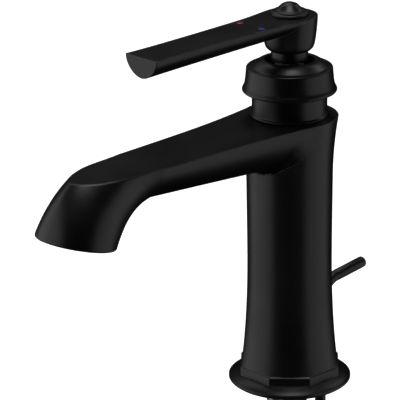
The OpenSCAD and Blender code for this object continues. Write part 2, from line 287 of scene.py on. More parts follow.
def round_top(item, level, fall, radius):
    """Cuts item at a flat top and rounds the edge into it, following the slope of the wall below."""
    steps = 5
    weld = 3e-6
    on_plane = 0.003
    faces_up = 0.9
    tiny = 1e-9
    combine(item, roof_cutter(level - radius, fall), "DIFFERENCE")
    work = bmesh.new()
    work.from_mesh(item.data)
    bmesh.ops.remove_doubles(work, verts=work.verts, dist=weld)

    def on_cut(vertex):
        return abs(vertex.co.z / MM - roof_height(vertex.co.y / MM, level - radius, fall)) < on_plane

    lids = [f for f in work.faces if all(on_cut(v) for v in f.verts) and abs(f.normal.z) > faces_up]
    bmesh.ops.delete(work, geom=lids, context="FACES_ONLY")
    loose = [e for e in work.edges if not e.link_faces]
    bmesh.ops.delete(work, geom=loose, context="EDGES")
    work.normal_update()
    loop = boundary_loop(work)
    foot = np.array([v.co for v in loop]) / MM
    steps_along = np.linalg.norm(np.roll(foot, -1, 0) - foot, axis=1)
    along = np.concatenate([[0], np.cumsum(steps_along)])
    total = along[-1]
    ahead = np.roll(foot, -1, 0) - np.roll(foot, 1, 0)
    wall = np.zeros((len(loop), 3))
    for i, vertex in enumerate(loop):
        for face in vertex.link_faces:
            wall[i] += np.array(face.normal) * math.sqrt(face.calc_area())
    area = 0.5 * np.sum(foot[:, 0] * np.roll(foot[:, 1], -1) - np.roll(foot[:, 0], -1) * foot[:, 1])
    turn = 1 if area > 0 else -1
    outward = np.stack([ahead[:, 1], -ahead[:, 0]], 1) * turn
    lean = wall[:, 2] / np.maximum(np.linalg.norm(wall[:, :2], axis=1), tiny)
    weight = 0.5 * (steps_along + np.roll(steps_along, 1)) + 1e-6
    # Directions are averaged over this length of the loop, so the rounding runs evenly past short edges.
    window = 0.7
    least_lean, most_lean = -0.2, 1.5
    gap = np.abs(along[:-1, None] - along[None, :-1])
    gap = np.minimum(gap, total - gap)
    blend = np.exp(-(gap / window) ** 2) * weight
    blend /= blend.sum(1, keepdims=True)
    outward /= np.maximum(np.linalg.norm(outward, axis=1, keepdims=True), tiny)
    outward = blend @ outward
    outward /= np.linalg.norm(outward, axis=1, keepdims=True)
    lean = blend @ np.clip(lean, least_lean, most_lean)
    control = foot.copy()
    control[:, :2] -= outward * (lean * radius)[:, None]
    finish = control.copy()
    finish[:, :2] -= outward * radius
    for ring in (control, finish):
        ring[:, 2] = [roof_height(y, level, fall) for y in ring[:, 1]]
    below = loop
    for k in range(1, steps + 1):
        t = k / steps
        ring = (1 - t) ** 2 * foot + 2 * t * (1 - t) * control + t ** 2 * finish
        above = [work.verts.new(p * MM) for p in ring]
        for i in range(len(loop)):
            j = (i + 1) % len(loop)
            work.faces.new((below[i], below[j], above[j], above[i]))
        below = above
    work.faces.new(below)
    bmesh.ops.remove_doubles(work, verts=work.verts, dist=weld)
    bmesh.ops.recalc_face_normals(work, faces=work.faces)
    work.to_mesh(item.data)
    work.free()
    return item


# ---------- cast body ----------

TOP_Z = 125.15
PLINTH_APOTHEM = 22.0
PLINTH_TOP = 8.8
SPIGOT_R = 16.1
CAVITY_R = 14.5
CAVITY_TOP = 30.0
TOP_ROUND = 0.55
SPOUT_FALL = math.tan(math.radians(0.7))
# The spout's end turns down about the point (REACH, TURN_Z). ARM_MIDDLE, ARM_OUTER and OUTLET_D are
# distances from that point, and TURN_END is the turn's last angle in degrees.
REACH = 88.0
TURN_Z = 87.9
ARM_MIDDLE = 37.05
ARM_OUTER = 50.9
ARM_HALF_W = 13.4
ARM_EXPONENT = 1.6
TURN_END = 75.9
OUTLET_D = 38.4
OUTLET_HALF_W = 18.0


def column_r(z):
    """Distance from the axis to the column's flats at a height."""
    foot = 2.3 * (max(60 - z, 0) / 48) ** 2.2
    chest = 0.3 * (max(z - 60, 0) / 38) ** 1.5 + 1.9 * (max(z - 98, 0) / 26) ** 2
    return 18.9 + foot + chest


def octagon_directions():
    """Directions round the column in degrees, closer together at the octagon's corners."""
    steps = [0.0, 0.35, 0.8, 1.4, 2.2, 3.4, 5, 7, 9.5, 12.5, 16, 19.5]
    half = steps + [22.5]
    sector = [22.5 - s for s in reversed(half)][:-1] + [22.5 + s for s in half][:-1]
    return [45 * i + d for i in range(8) for d in sector]


def column_ring(z, radius, sharp):
    """Ring between a circle (sharp 0) and an octagon (sharp 1), its corners softly rounded."""
    softness = 0.7
    corner = 22.5
    out = []
    for direction in octagon_directions():
        from_corner = abs((direction % 45) - corner)
        off_flat = corner - math.hypot(from_corner, softness) + softness * 0.4
        distance = radius * (1 - sharp + sharp / math.cos(math.radians(min(off_flat, corner))))
        turn = math.radians(direction)
        out.append((distance * math.cos(turn), distance * math.sin(turn), z))
    return out


def column():
    """Octagonal plinth and flared column, one surface from the spigot to above the flat top."""
    rings = [column_ring(GASKET_T, SPIGOT_R, 0), column_ring(FLANGE_TOP, SPIGOT_R, 0)]
    ledge = [(FLANGE_TOP, 0), (PLINTH_TOP - 0.5, 0), (PLINTH_TOP - 0.2, 0.08), (PLINTH_TOP, 0.3)]
    rings += [column_ring(z, PLINTH_APOTHEM - inset, 1) for z, inset in ledge]
    heights = np.concatenate([np.linspace(9.05, 60, 46), np.linspace(61.5, TOP_Z + 3, 48)])
    for z in heights:
        rings.append(column_ring(z, column_r(z), (max(64 - z, 0) / 58) ** 2))
    return skin("column", rings)


def power(value, exponent):
    """Power that keeps the sign of its base."""
    return math.copysign(abs(value) ** exponent, value)


def spout_section(forward, lean, inner, centre, outer, half_w, exponent):
    """Egg-shaped section in a plane that leans forward about the turning centre."""
    out = []
    count = 72
    for i in range(count):
        t = 2 * math.pi * i / count
        e = exponent if math.sin(t) > 0 else 2
        side = half_w * power(math.cos(t), 2 / e)
        up = power(math.sin(t), 2 / e)
        d = centre + up * (outer - centre if up > 0 else centre - inner)
        out.append([side, -forward - d * math.sin(lean), TURN_Z + d * math.cos(lean)])
    return np.array(out)


def arm_section(forward):
    """Section of the arm, its underside rising forwards and its sides flared at the column."""
    half_w = 16.8 - 0.0275 * forward + 4.7 * math.exp(-(forward / 26) ** 1.3)
    under = 102.95 + 0.0603 * forward - TURN_Z
    section = spout_section(forward, 0, under, ARM_MIDDLE, ARM_OUTER, half_w, ARM_EXPONENT)
    return swell_at_column(section)


def swell_at_column(section):
    """Pushes the lower part of an arm section outwards near the column, for a cast fillet."""
    radius = 2.2
    middle = np.array([0, section[0][1], TURN_Z + ARM_MIDDLE])
    for i, point in enumerate(section):
        gap = math.hypot(point[0], point[1]) - column_r(point[2])
        near = min(max(radius - gap, 0), radius)
        rise = radius - math.sqrt(max(radius ** 2 - near ** 2, 0))
        low = min(max((TOP_Z - 6 - point[2]) / 8, 0), 1)
        away = point - middle
        section[i] = point + away / np.linalg.norm(away) * rise * low
    return section


def turn_section(degrees):
    """Section of the turned-down end, which widens towards the outlet."""
    if degrees < 40:
        inner = 18.3 + 2.07 * ((40 - degrees) / 40) ** 2
    else:
        inner = 18.3 + 3.2 * ((degrees - 40) / 36) ** 2.5
    outer = ARM_OUTER + 4.4 * (max(degrees - 38, 0) / 38) ** 0.7
    centre = ARM_MIDDLE + 1.35 * (degrees / 76) ** 2
    if degrees < 20:
        half_w = ARM_HALF_W + 1.03 * (1 - degrees / 20) ** 2
    else:
        half_w = ARM_HALF_W + (OUTLET_HALF_W - ARM_HALF_W) * ((degrees - 20) / 56) ** 1.7
    exponent = ARM_EXPONENT + 0.4 * max(degrees - 45, 0) / 31
    return spout_section(REACH, math.radians(degrees), inner, centre, outer, half_w, exponent)


def outlet_frame():
    """Matrix that takes +Z up into the spout at the outlet's centre."""
    lean = math.radians(TURN_END)
    place_at = Vector((0, -REACH - OUTLET_D * math.sin(lean), TURN_Z + OUTLET_D * math.cos(lean)))
    return Matrix.Translation(place_at) @ Matrix.Rotation(lean - math.pi / 2, 4, "X")


def spout():
    """Arm and turned-down end, with a rounded lip round the outlet."""
    arm = np.concatenate([[1, 5, 9, 12], np.arange(14, 25, 0.5), np.arange(26, REACH, 1.5)])
    rings = [arm_section(f) for f in arm]
    lip = 1.1
    rings += [turn_section(a) for a in np.linspace(0, TURN_END - math.degrees(lip / OUTLET_D), 80)]
    centre = np.array(outlet_frame().translation)
    for t in np.linspace(0.2, 1, 5) * math.pi / 2:
        back = math.degrees(lip * (1 - math.sin(t)) / OUTLET_D)
        ring = turn_section(TURN_END - back)
        middle = ring.mean(0)
        rings.append(middle + (ring - middle) * (1 - lip * (1 - math.cos(t)) / OUTLET_HALF_W))
    rings.append(centre + (rings[-1] - centre) * 0.9)
    return skin("spout", rings)


def body_drills():
    """Bores, cavity, inlet ports, rod groove and waterways."""
    groove_r, groove_top = 2.8, 58
    tools = [
        rod_between("bore", 13.2, 118, 140, sides=160),
        rod_between("seat", 15.2, 119, 140, sides=160),
        rod_between("cavity", CAVITY_R, -1, CAVITY_TOP, CAVITY_AT, 128),
        rod_between("stud_hole", STUD_R, CAVITY_TOP - 1, STUD_HIGH, STUD_AT),
        rod_between("rod_groove", groove_r, -1, groove_top, ROD_AT),
        block("rod_slot", (-groove_r, ROD_AT[1], -1), (groove_r, ROD_AT[1] + 10, groove_top)),
        rod_between("mixed_water", 3.2, 112, 132, MIXED_WATER_AT),
    ]
    for side in (-1, 1):
        port_at = (side * PORT_X, PORT_Y)
        tools.append(rod_between("port", 4.5, CAVITY_TOP - 1, CAVITY_TOP + 12, port_at))
        tools.append(rod_between("riser", 2.8, CAVITY_TOP, CAVITY_TOP + 100, port_at))
    along = Matrix.Translation((0, -4, 111.6)) @ Matrix.Rotation(math.radians(90 - 3.2), 4, "X")
    tools.append(place(rod_between("arm_water", 4.5, 0, 113), along))
    for radius, low, high in ((13.2, -5, 1.5), (11.5, 0, 13), (8, 0, 17)):
        tools.append(place(rod_between("outlet_bore", radius, low, high, sides=128), outlet_frame()))
    return joined(tools)


def soften_corners(item):
    """Shades the column's wall as one round surface, so the cast corners of the octagon stay faint."""
    softened_up_to = 62
    upright = 0.35
    mesh = item.data
    normals = np.zeros((len(mesh.loops), 3))
    for face in mesh.polygons:
        x, y, z = face.center / MM
        off_wall = math.hypot(x, y) - column_r(z)
        in_range = PLINTH_TOP + 0.2 < z < softened_up_to and -0.3 < off_wall < 2
        if not in_range or abs(face.normal.z) >= upright:
            continue
        slope = column_r(z + 0.5) - column_r(z - 0.5)
        for loop in face.loop_indices:
            corner = mesh.vertices[mesh.loops[loop].vertex_index].co
            outward = Vector((corner.x, corner.y, 0)).normalized() - Vector((0, 0, slope))
            normals[loop] = outward.normalized()
    mesh.normals_split_custom_set(normals)
    return item


def make_body():
    """Column and spout in one piece, with the flat top rounded off and every hole drilled."""
    body = combine(column(), spout(), "UNION")
    round_top(body, TOP_Z, SPOUT_FALL, TOP_ROUND)
    combine(body, body_drills(), "DIFFERENCE")
    return soften_corners(smooth_shade(body))


def make_flange():
    top = curve([(FLANGE_R, 1.9), (FLANGE_R - 0.15, 2.6), (25.6, 3.75), (22.9, FLANGE_TOP)], 8)
    outline = [(SPIGOT_R, GASKET_T), (FLANGE_R - 0.6, GASKET_T)]
    outline += curve([(FLANGE_R - 0.35, GASKET_T + 0.1), (FLANGE_R, GASKET_T + 0.6), (FLANGE_R, 1.9)], 4)[:-1]
    outline += top + [(SPIGOT_R, FLANGE_TOP)]
    flange = lathe("flange_ring", outline, 200)
    combine(flange, rod_between("rod_hole", 3.1, -1, 10, ROD_AT), "DIFFERENCE")
    return smooth_shade(flange)


def make_gasket():
    outline = [(SPIGOT_R, 0), (FLANGE_R - 1.5, 0), (FLANGE_R - 1.5, GASKET_T), (SPIGOT_R, GASKET_T)]
    gasket = lathe("flange_gasket", fillet(outline, 0.2), 160)
    combine(gasket, rod_between("rod_hole", 2.8, -1, 10, ROD_AT), "DIFFERENCE")
    return smooth_shade(gasket)


def make_rod_guide():
    outline = [(2.58, GASKET_T), (3.1, GASKET_T), (3.1, FLANGE_TOP), (2.58, FLANGE_TOP)]
    return smooth_shade(lathe("rod_bushing", fillet(outline, 0.12), 64, ROD_AT))


def make_collar():
    wall, inner, bead = 16.6, 16.0, 17.4
    outline = [(13.2, 119), (15.2, 119), (15.2, TOP_Z), (bead - 0.35, TOP_Z)]
    outline += curve([(bead - 0.3, TOP_Z + 0.05), (bead, TOP_Z + 0.6), (bead - 0.3, TOP_Z + 1.15),
                      (wall + 0.12, TOP_Z + 1.45), (wall, TOP_Z + 1.9)], 5)
    outline += [(wall, BELL_Z + 0.7), (inner, BELL_Z + 0.7), (inner, COLLAR_TOP), (14.2, COLLAR_TOP)]
    outline += [(14.2, 133), (13.2, 133)]
    return smooth_shade(lathe("bonnet_collar", outline, 192))


def make_bell():
    z = BELL_Z
    outline = curve([(20.2, z), (20.6, z + 0.18), (20.85, z + 0.55), (20.9, z + 0.95), (20.6, z + 1.7),
                     (20.1, z + 2.6), (19.8, z + 3.6), (19.5, z + 5.6), (19.25, z + 8), (19.1, z + 10.1)], 5)
    outline += curve([(19.06, z + 10.45), (18.85, z + 10.85), (18.5, z + 11.05), (17.9, z + 11.15),
                      (16.9, z + 11.45), (15.7, z + 12.3), (14.5, z + 13.2), (13.3, z + 13.9),
                      (12.4, z + 14.25), (11.5, z + 14.45), (11.05, z + 14.4), (10.85, z + 14.1)], 5)
    outline += [(10.85, 149.2), (11.2, 148.6), (12.6, 148.6), (15.4, 146), (15.9, 145), (15.9, 141.2)]
    outline += [(16, 141.2)]
    outline += [(16, z + 0.7), (16.7, z + 0.7), (16.7, z)]
    return smooth_shade(lathe("bonnet_shell", outline, 192))


def make_neck():
    outline = [(0, 150.2), (NECK_R, 150.2), (NECK_R, 155.8), (0, 155.8)]
    neck = lathe("lever_neck", fillet(outline, 0.25), 128)
    combine(neck, block("square", (-2.8, -2.8, 149), (2.8, 2.8, 158)), "DIFFERENCE")
    return smooth_shade(neck)


# ---------- lever ----------

# The lever's flat top lies this far below the CAD lever's highest point.
LEVER_CROWN = 0.3
LEVER_FALL = math.tan(math.radians(0.83))
LEVER_LEVEL = LEVER_Z - LEVER_CROWN
LEVER_ROUND = 0.4
MARK_X, MARK_Y, MARK_R = 6.6, -23.5, 1.3
MARK_FOOT = LEVER_Z - 0.75


def lever_half_w(f):
    """Half of the lever's width at a distance in front of the axis."""
    share = f / LEVER_REACH
    return 8.8 + 1.9 * (1 - share) ** 1.5 + 0.8 * share ** 6 + 1.6 * math.exp(-(f / 12) ** 2)


def lever_section(f, inset=0):
    """D-shaped section: upright walls above the widest level, a full round below."""
    roundness = 1.1
    half_w = lever_half_w(f) - inset
    depth = 7.9 + 1.3 * f / LEVER_REACH - inset
    level = roof_height(-f, LEVER_LEVEL, LEVER_FALL) - LEVER_ROUND
    out = [(half_w, -f, level + 4), (-half_w, -f, level + 4)]
    count = 48
    for i in range(count + 1):
        t = math.pi + math.pi * i / count
        side = power(math.cos(t), roundness) * half_w
        drop = power(math.sin(t), roundness) * (depth - LEVER_ROUND)
        out.append((side, -f, level + drop))
    return out


def lever_arm():
    """Arm of the lever, with a small rounded edge at its tip."""
    reaches = np.concatenate([np.arange(0, 20, 1), np.arange(20, LEVER_REACH - 0.4, 2)])
    edge = 0.35
    rings = [lever_section(f) for f in reaches]
    for t in np.linspace(0, 1, 5) * math.pi / 2:
        rings.append(lever_section(LEVER_REACH - edge * (1 - math.sin(t)), edge * (1 - math.cos(t))))
    return skin("lever_arm", rings)


def make_lever():
    """Hub and arm with the rounded flat top, the seats inside the hub and the pockets of the marks."""
    outline = [(0, 154.6), (NECK_R, 154.6)]
    outline += curve([(8.4, 154.62), (9.2, 155.0), (10.2, 155.9), (10.85, 157.2), (11.5, 160.5), (12.1, 166),
                      (12.35, LEVER_LEVEL), (12.4, LEVER_LEVEL + 3)], 6)
    outline += [(0, LEVER_LEVEL + 3)]
    lever = combine(lathe("lever", outline, 160), lever_arm(), "UNION")
    round_top(lever, LEVER_LEVEL, LEVER_FALL, LEVER_ROUND)
    drills = [
        rod_between("neck_seat", NECK_R, 153, 155.8, sides=128),
        rod_between("adapter_seat", 6.2, 155, 162.9),
        rod_between("screw_hole", 2.1, 160, 180),
        rod_between("head_hole", 4.3, 165.5, 180),
    ]
    for x in (-MARK_X, MARK_X):
        drills.append(rod_between("mark_pocket", MARK_R, MARK_FOOT, 180, (x, MARK_Y)))
    combine(lever, joined(drills), "DIFFERENCE")
    return smooth_shade(lever)


def make_finial():
    z = LEVER_Z
    skirt = LEVER_LEVEL - 0.02
    outline = [(0, 168.2), (4.3, 168.2), (4.3, skirt), (8.25, skirt)]
    outline += curve([(8.35, z - 0.1), (8.45, z + 0.3), (8.3, z + 0.75), (7.9, z + 0.95), (7.5, z + 1)], 5)
    outline += curve([(7.45, z + 1.2), (7.4, z + 1.5), (7.15, z + 1.8), (6.5, z + 1.9)], 4)
    outline += curve([(6.3, z + 1.98), (5.95, z + 2.2), (5.4, z + 2.6), (4.6, z + 3.4), (3.5, z + 4.4),
                      (1.9, z + 5.12), (0.7, z + 5.33), (0, z + 5.35)], 6)
    return smooth_shade(lathe("finial", outline, 160))


def make_mark(name, x):
    """Enamel dot that stands slightly proud of the lever."""
    level = roof_height(MARK_Y, LEVER_LEVEL, LEVER_FALL)
    rise = 0.12
    outline = [(0, MARK_FOOT), (MARK_R - 0.02, MARK_FOOT), (MARK_R - 0.02, level)]
    crown = [(MARK_R - 0.05, level + 0.03), (MARK_R * 0.7, level + rise * 0.8), (0, level + rise)]
    outline += curve(crown, 4)
    return smooth_shade(lathe(name, outline, 48, (x, MARK_Y)), 50)


# ---------- lift rod ----------

def make_lift_rod():
    """Rod swept up through the groove and back, with a turned-down end and a rounded tip."""
    radius, end_r, bend, slope = 2.5, 2.1, 11.5, math.radians(7)
    bend_z, knob = 30.2, 17.8
    y = ROD_AT[1]
    stations = [(ROD_LOW, end_r - 0.5), (ROD_LOW + 0.15, end_r - 0.2), (ROD_LOW + 0.5, end_r)]
    stations += [(ROD_LOW + 20, end_r), (ROD_LOW + 20.1, radius)]
    stations += [(z, radius) for z in np.linspace(-22, bend_z, 12)]
    rings = []
    sides = [2 * math.pi * i / 64 for i in range(64)]

    def ring(at, lean, r):
        back, up = math.sin(lean), math.cos(lean)
        return [
            (r * math.cos(s), at[0] + r * math.sin(s) * up, at[1] - r * math.sin(s) * back) for s in sides
        ]

    for z, r in stations:
        rings.append(ring((y, z), 0, r))
    last = math.pi / 2 - slope
    for lean in np.linspace(0, last, 28)[1:]:
        at = (y + bend * (1 - math.cos(lean)), bend_z + bend * math.sin(lean))
        rings.append(ring(at, lean, radius))
    corner = (y + bend * (1 - math.cos(last)), bend_z + bend * math.sin(last))
    tip = [(0.2, radius + 0.1), (knob - 1.2, radius + 0.1), (knob - 0.75, radius + 0.02),
           (knob - 0.4, radius - 0.2), (knob - 0.15, radius - 0.6), (knob, radius - 1.1)]
    for distance, r in tip:
        at = (corner[0] + distance * math.sin(last), corner[1] + distance * math.cos(last))
        rings.append(ring(at, last, r))
    return smooth_shade(skin("pull_rod", rings))


# ---------- mounting set ----------

def threaded(name, radius, depth, pitch, low, high, centre):
    """Rod with a true helical thread and chamfered ends."""
    rings = []
    sides = 48
    steps = 10
    chamfer = 0.9
    count = int(round((high - low) / pitch * steps))
    for j in range(count + 1):
        z = low + (high - low) * j / count
        near_end = min(z - low, high - z)
        limit = radius - max(chamfer - near_end, 0) * 0.9
        ring = []
        for i in range(sides):
            turn = i / sides
            angle = 2 * math.pi * turn
            phase = ((z - low) / pitch - turn) % 1
            cut = depth * min(max(1.6 - abs(phase - 0.5) * 4, 0), 1)
            r = min(radius - cut, limit)
            ring.append((centre[0] + r * math.cos(angle), centre[1] + r * math.sin(angle), z))
        rings.append(ring)
    return skin(name, rings)


def make_stud():
    depth, pitch = 0.5, 1.25
    stud = threaded("threaded_stud", STUD_R, depth, pitch, STUD_LOW, STUD_HIGH, STUD_AT)
    return smooth_shade(stud, 50)


def make_nut():
    across_flats = 13
    nut = hexagon("stud_hex_nut", across_flats, NUT_LOW, NUT_HIGH, STUD_AT)
    hole = lathe("hole", [
        (0, NUT_LOW - 1), (STUD_R + 0.5, NUT_LOW - 1), (STUD_R + 0.5, NUT_LOW), (STUD_R, NUT_LOW + 0.5),
        (STUD_R, NUT_HIGH - 0.5), (STUD_R + 0.5, NUT_HIGH), (STUD_R + 0.5, NUT_HIGH + 1), (0, NUT_HIGH + 1)
    ], 64, STUD_AT)
    combine(nut, hole, "DIFFERENCE")
    return smooth_shade(nut)


def make_horseshoe(name, node, edge):
    """Disc with a hole for the stud and a slot, open at the back, for the hoses and the lift rod."""
    low, high = span(node, 2)
    disc_r, hose_r, past_edge = 21.5, 4.9, 40
    outline = fillet([(0, low), (disc_r, low), (disc_r, high), (0, high)], edge)
    plate = lathe(name, outline, 160, DECK_HOLE_AT)
    under, over = low - 1, high + 1
    tools = [rod_between("hose_slot", hose_r, under, over, (side * PORT_X, PORT_Y)) for side in (-1, 1)]
    tools.append(block("slot_front", (-PORT_X, PORT_Y - hose_r, under), (PORT_X, past_edge, over)))
    tools.append(block("slot_back", (-PORT_X - hose_r, PORT_Y, under), (PORT_X + hose_r, past_edge, over)))
    tools.append(rod_between("stud_hole", STUD_R + 0.2, under, over, STUD_AT))
    combine(plate, joined(tools), "DIFFERENCE")
    return smooth_shade(plate)


# ---------- aerator ----------

def make_aerator_housing():
    """Ring with four slots for the key, built upright and then set into the outlet."""
    outline = [(11.1, 0.2), (12.9, 0.2), (12.9, 1.5), (11.4, 1.5), (11.4, 9.9), (10, 9.9), (10, 1.6)]
    outline += [(10.6, 0.9)]
    housing = lathe("aerator_shell", fillet(outline, 0.2), 128)
    key_slots = []
    for i in range(2):
        slot = block("key_slot", (-14, -1.1, -0.5), (14, 1.1, 0.75))
        key_slots.append(place(slot, Matrix.Rotation(math.pi / 2 * i, 4, "Z")))
    combine(housing, joined(key_slots), "DIFFERENCE")
    place(housing, outlet_frame())
    return smooth_shade(housing)


def make_aerator_insert():
    """Flow straightener: a disc with rings of round holes and a raised rim."""
    outline = [(0, 1), (8.9, 1), (9.1, 0.7), (9.7, 0.7), (9.7, 8), (0, 8)]
    insert = lathe("aerator_flow_insert", fillet(outline, 0.12), 96)
    hole_r, ring_gap, hole_rings = 0.9, 2.7, 3
    holes = [rod_between("hole", hole_r, -1, 9, sides=24)]
    for ring in range(1, hole_rings + 1):
        for i in range(ring * 6):
            turn = 2 * math.pi * i / (ring * 6)
            at = (ring * ring_gap * math.cos(turn), ring * ring_gap * math.sin(turn))
            holes.append(rod_between("hole", hole_r, -1, 9, at, 24))
    combine(insert, joined(holes), "DIFFERENCE")
    place(insert, outlet_frame())
    return smooth_shade(insert)


def make_aerator_washer():
    outline = fillet([(9, 10), (11.4, 10), (11.4, 12), (9, 12)], 0.3)
    return smooth_shade(place(lathe("aerator_seal", outline, 128), outlet_frame()))


# ---------- materials ----------

def noise(nodes, links, coordinates, scale, detail=4.0, stretch=(1, 1, 1)):
    """Noise over object space, its scale in cycles per metre."""
    mapping = nodes.new("ShaderNodeMapping")
    mapping.inputs["Scale"].default_value = stretch
    links.new(coordinates.outputs["Object"], mapping.inputs["Vector"])
    texture = nodes.new("ShaderNodeTexNoise")
    texture.inputs["Scale"].default_value = scale
    texture.inputs["Detail"].default_value = detail
    links.new(mapping.outputs["Vector"], texture.inputs["Vector"])
    return texture.outputs["Fac"]


def ramp(nodes, links, factor, stops):
    """Colour ramp with (position, colour) stops."""
    node = nodes.new("ShaderNodeValToRGB")
    elements = node.color_ramp.elements
    while len(elements) < len(stops):
        elements.new(0.5)
    for element, (position, colour) in zip(elements, stops):
        element.position = position
        element.color = (*colour, 1)
    links.new(factor, node.inputs["Fac"])
    return node.outputs["Color"]


# Nearly all of a noise texture's values lie in this range.
NOISE_LOW, NOISE_HIGH = 0.3, 0.7


def ranged(nodes, links, factor, low, high):
    """Noise factor turned into low..high."""
    node = nodes.new("ShaderNodeMapRange")
    node.inputs["From Min"].default_value = NOISE_LOW
    node.inputs["From Max"].default_value = NOISE_HIGH
    node.inputs["To Min"].default_value = low
    node.inputs["To Max"].default_value = high
    links.new(factor, node.inputs["Value"])
    return node.outputs["Result"]


# Radius of the Bevel node that finds the edges for the painted edge highlight.
EDGE_HIGHLIGHT_RADIUS = 0.6 * MM
# Cosines of the turn between the true and the rounded surface direction where the painted edge highlight
# begins and is full.
HIGHLIGHT_BEGINS, HIGHLIGHT_FULL = 0.985, 0.88


def edge_highlight_mask(nodes, links, speck):
    """Mask of the painted edge highlight: 0 away from edges, up to 1 along them, broken up by the grain."""
    bevel = nodes.new("ShaderNodeBevel")
    bevel.samples = 6
    bevel.inputs["Radius"].default_value = EDGE_HIGHLIGHT_RADIUS
    geometry = nodes.new("ShaderNodeNewGeometry")
    turn = nodes.new("ShaderNodeVectorMath")
    turn.operation = "DOT_PRODUCT"
    links.new(bevel.outputs["Normal"], turn.inputs[0])
    links.new(geometry.outputs["Normal"], turn.inputs[1])
    bend = nodes.new("ShaderNodeMapRange")
    bend.inputs["From Min"].default_value = HIGHLIGHT_BEGINS
    bend.inputs["From Max"].default_value = HIGHLIGHT_FULL
    links.new(turn.outputs["Value"], bend.inputs["Value"])
    patchy = nodes.new("ShaderNodeMath")
    patchy.operation = "MULTIPLY"
    links.new(bend.outputs["Result"], patchy.inputs[0])
    links.new(ranged(nodes, links, speck, 0.5, 1.0), patchy.inputs[1])
    return patchy.outputs["Value"]


# Positions of the Mix node's colour sockets, which share their names with its other sockets.
MIX_COLOUR_A, MIX_COLOUR_B, MIX_COLOUR_RESULT = 6, 7, 2


def mixed(nodes, links, factor, start, end):
    """Colour that runs from the start socket to the end colour as the factor goes from 0 to 1."""
    node = nodes.new("ShaderNodeMix")
    node.data_type = "RGBA"
    links.new(factor, node.inputs["Factor"])
    links.new(start, node.inputs[MIX_COLOUR_A])
    node.inputs[MIX_COLOUR_B].default_value = (*end, 1)
    return node.outputs[MIX_COLOUR_RESULT]


CLOUD_SCALE = 60
COAT_ROUGHNESS = 0.08


def material(name, colours, edge_highlight_colour, roughness, grain, bump, metallic=0.0, stretch=(1, 1, 1), coat=0.0):
    """Procedural finish: cloudy colour, a colour painted along edges as a painted highlight, uneven roughness
    and a fine grain in the bump.

    colours are the dark and light ends of the colour variation, the third argument the painted highlight
    colour along edges, roughness its low and high ends, grain the bump's cycles per metre and bump its height
    in metres.
    """
    made = bpy.data.materials.new(name)
    made.use_nodes = True
    nodes, links = made.node_tree.nodes, made.node_tree.links
    shader = nodes["Principled BSDF"]
    coordinates = nodes.new("ShaderNodeTexCoord")
    cloud = noise(nodes, links, coordinates, CLOUD_SCALE, stretch=stretch)
    speck = noise(nodes, links, coordinates, grain, 6.0, stretch)
    tint = ramp(nodes, links, cloud, [(0.35, colours[0]), (0.65, colours[1])])
    # Colour mixed in along edges: a painted highlight.
    tint = mixed(nodes, links, edge_highlight_mask(nodes, links, speck), tint, edge_highlight_colour)
    links.new(tint, shader.inputs["Base Color"])
    links.new(ranged(nodes, links, cloud, *roughness), shader.inputs["Roughness"])
    relief = nodes.new("ShaderNodeBump")
    relief.inputs["Strength"].default_value = 1.0
    relief.inputs["Distance"].default_value = bump
    links.new(speck, relief.inputs["Height"])
    links.new(relief.outputs["Normal"], shader.inputs["Normal"])
    shader.inputs["Metallic"].default_value = metallic
    shader.inputs["Coat Weight"].default_value = coat
    shader.inputs["Coat Roughness"].default_value = COAT_ROUGHNESS
    return made


# The third colour of each finish is painted along its edges as a painted highlight; on the ceramic it is
# darker than the finish.
FINISHES = {
    "black_finish": material("satin_black_coating", ((0.0016, 0.0016, 0.0017), (0.003, 0.003, 0.0031)),
                             (0.25, 0.25, 0.252), (0.34, 0.4), 2600, 2.5e-6),
    "rubber": material("black_rubber", ((0.018, 0.018, 0.018), (0.032, 0.032, 0.033)), (0.06, 0.06, 0.06),
                       (0.7, 0.85), 1500, 2e-5),
    "plastic_grey": material("grey_moulding", ((0.3, 0.31, 0.32), (0.38, 0.39, 0.4)), (0.48, 0.49, 0.5),
                             (0.42, 0.55), 900, 8e-6),
    "plastic_ivory": material("ivory_moulding", ((0.76, 0.73, 0.64), (0.85, 0.83, 0.76)), (0.9, 0.88, 0.82),
                              (0.35, 0.5), 900, 8e-6),
    "plastic_red": material("red_moulding", ((0.5, 0.03, 0.03), (0.62, 0.05, 0.05)), (0.7, 0.12, 0.12),
                            (0.35, 0.45), 900, 8e-6),
    "ceramic": material("lapped_ceramic", ((0.82, 0.82, 0.79), (0.92, 0.92, 0.9)), (0.7, 0.7, 0.68),
                        (0.12, 0.2), 3000, 1e-6),
    "brass": material("machined_brass", ((0.62, 0.42, 0.16), (0.76, 0.55, 0.25)), (0.85, 0.68, 0.4),
                      (0.22, 0.36), 500, 6e-6, metallic=1.0, stretch=(1, 1, 9)),
    "steel": material("zinc_plated_steel", ((0.5, 0.5, 0.5), (0.66, 0.66, 0.68)), (0.8, 0.8, 0.8),
                      (0.26, 0.42), 700, 5e-6, metallic=1.0, stretch=(1, 1, 6)),
    "mark_red": material("red_enamel", ((0.55, 0.015, 0.03), (0.7, 0.03, 0.05)), (0.75, 0.1, 0.1),
                         (0.15, 0.25), 1200, 3e-6, coat=0.5),
    "mark_blue": material("blue_enamel", ((0.015, 0.03, 0.5), (0.03, 0.05, 0.65)), (0.1, 0.12, 0.7),
                          (0.15, 0.25), 1200, 3e-6, coat=0.5),
}
SLOT_OF = {part["node"]: part["material_slot"] for part in frame["record"]["subparts"]}
BODY_OF = {
    node: body for body, nodes in frame["record"]["behaviour"]["bodies"].items() for node in nodes
}


def paint(item, finish):
    """Gives item one finish and no other."""
    item.data.materials.clear()
    item.data.materials.append(finish)


def stand_for(item, node):
    """item takes the place, the body and the finish of a CAD node."""
    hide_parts(node)
    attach(item, BODY_OF[node])
    paint(item, FINISHES[SLOT_OF[node]])


# ---------- the object ----------

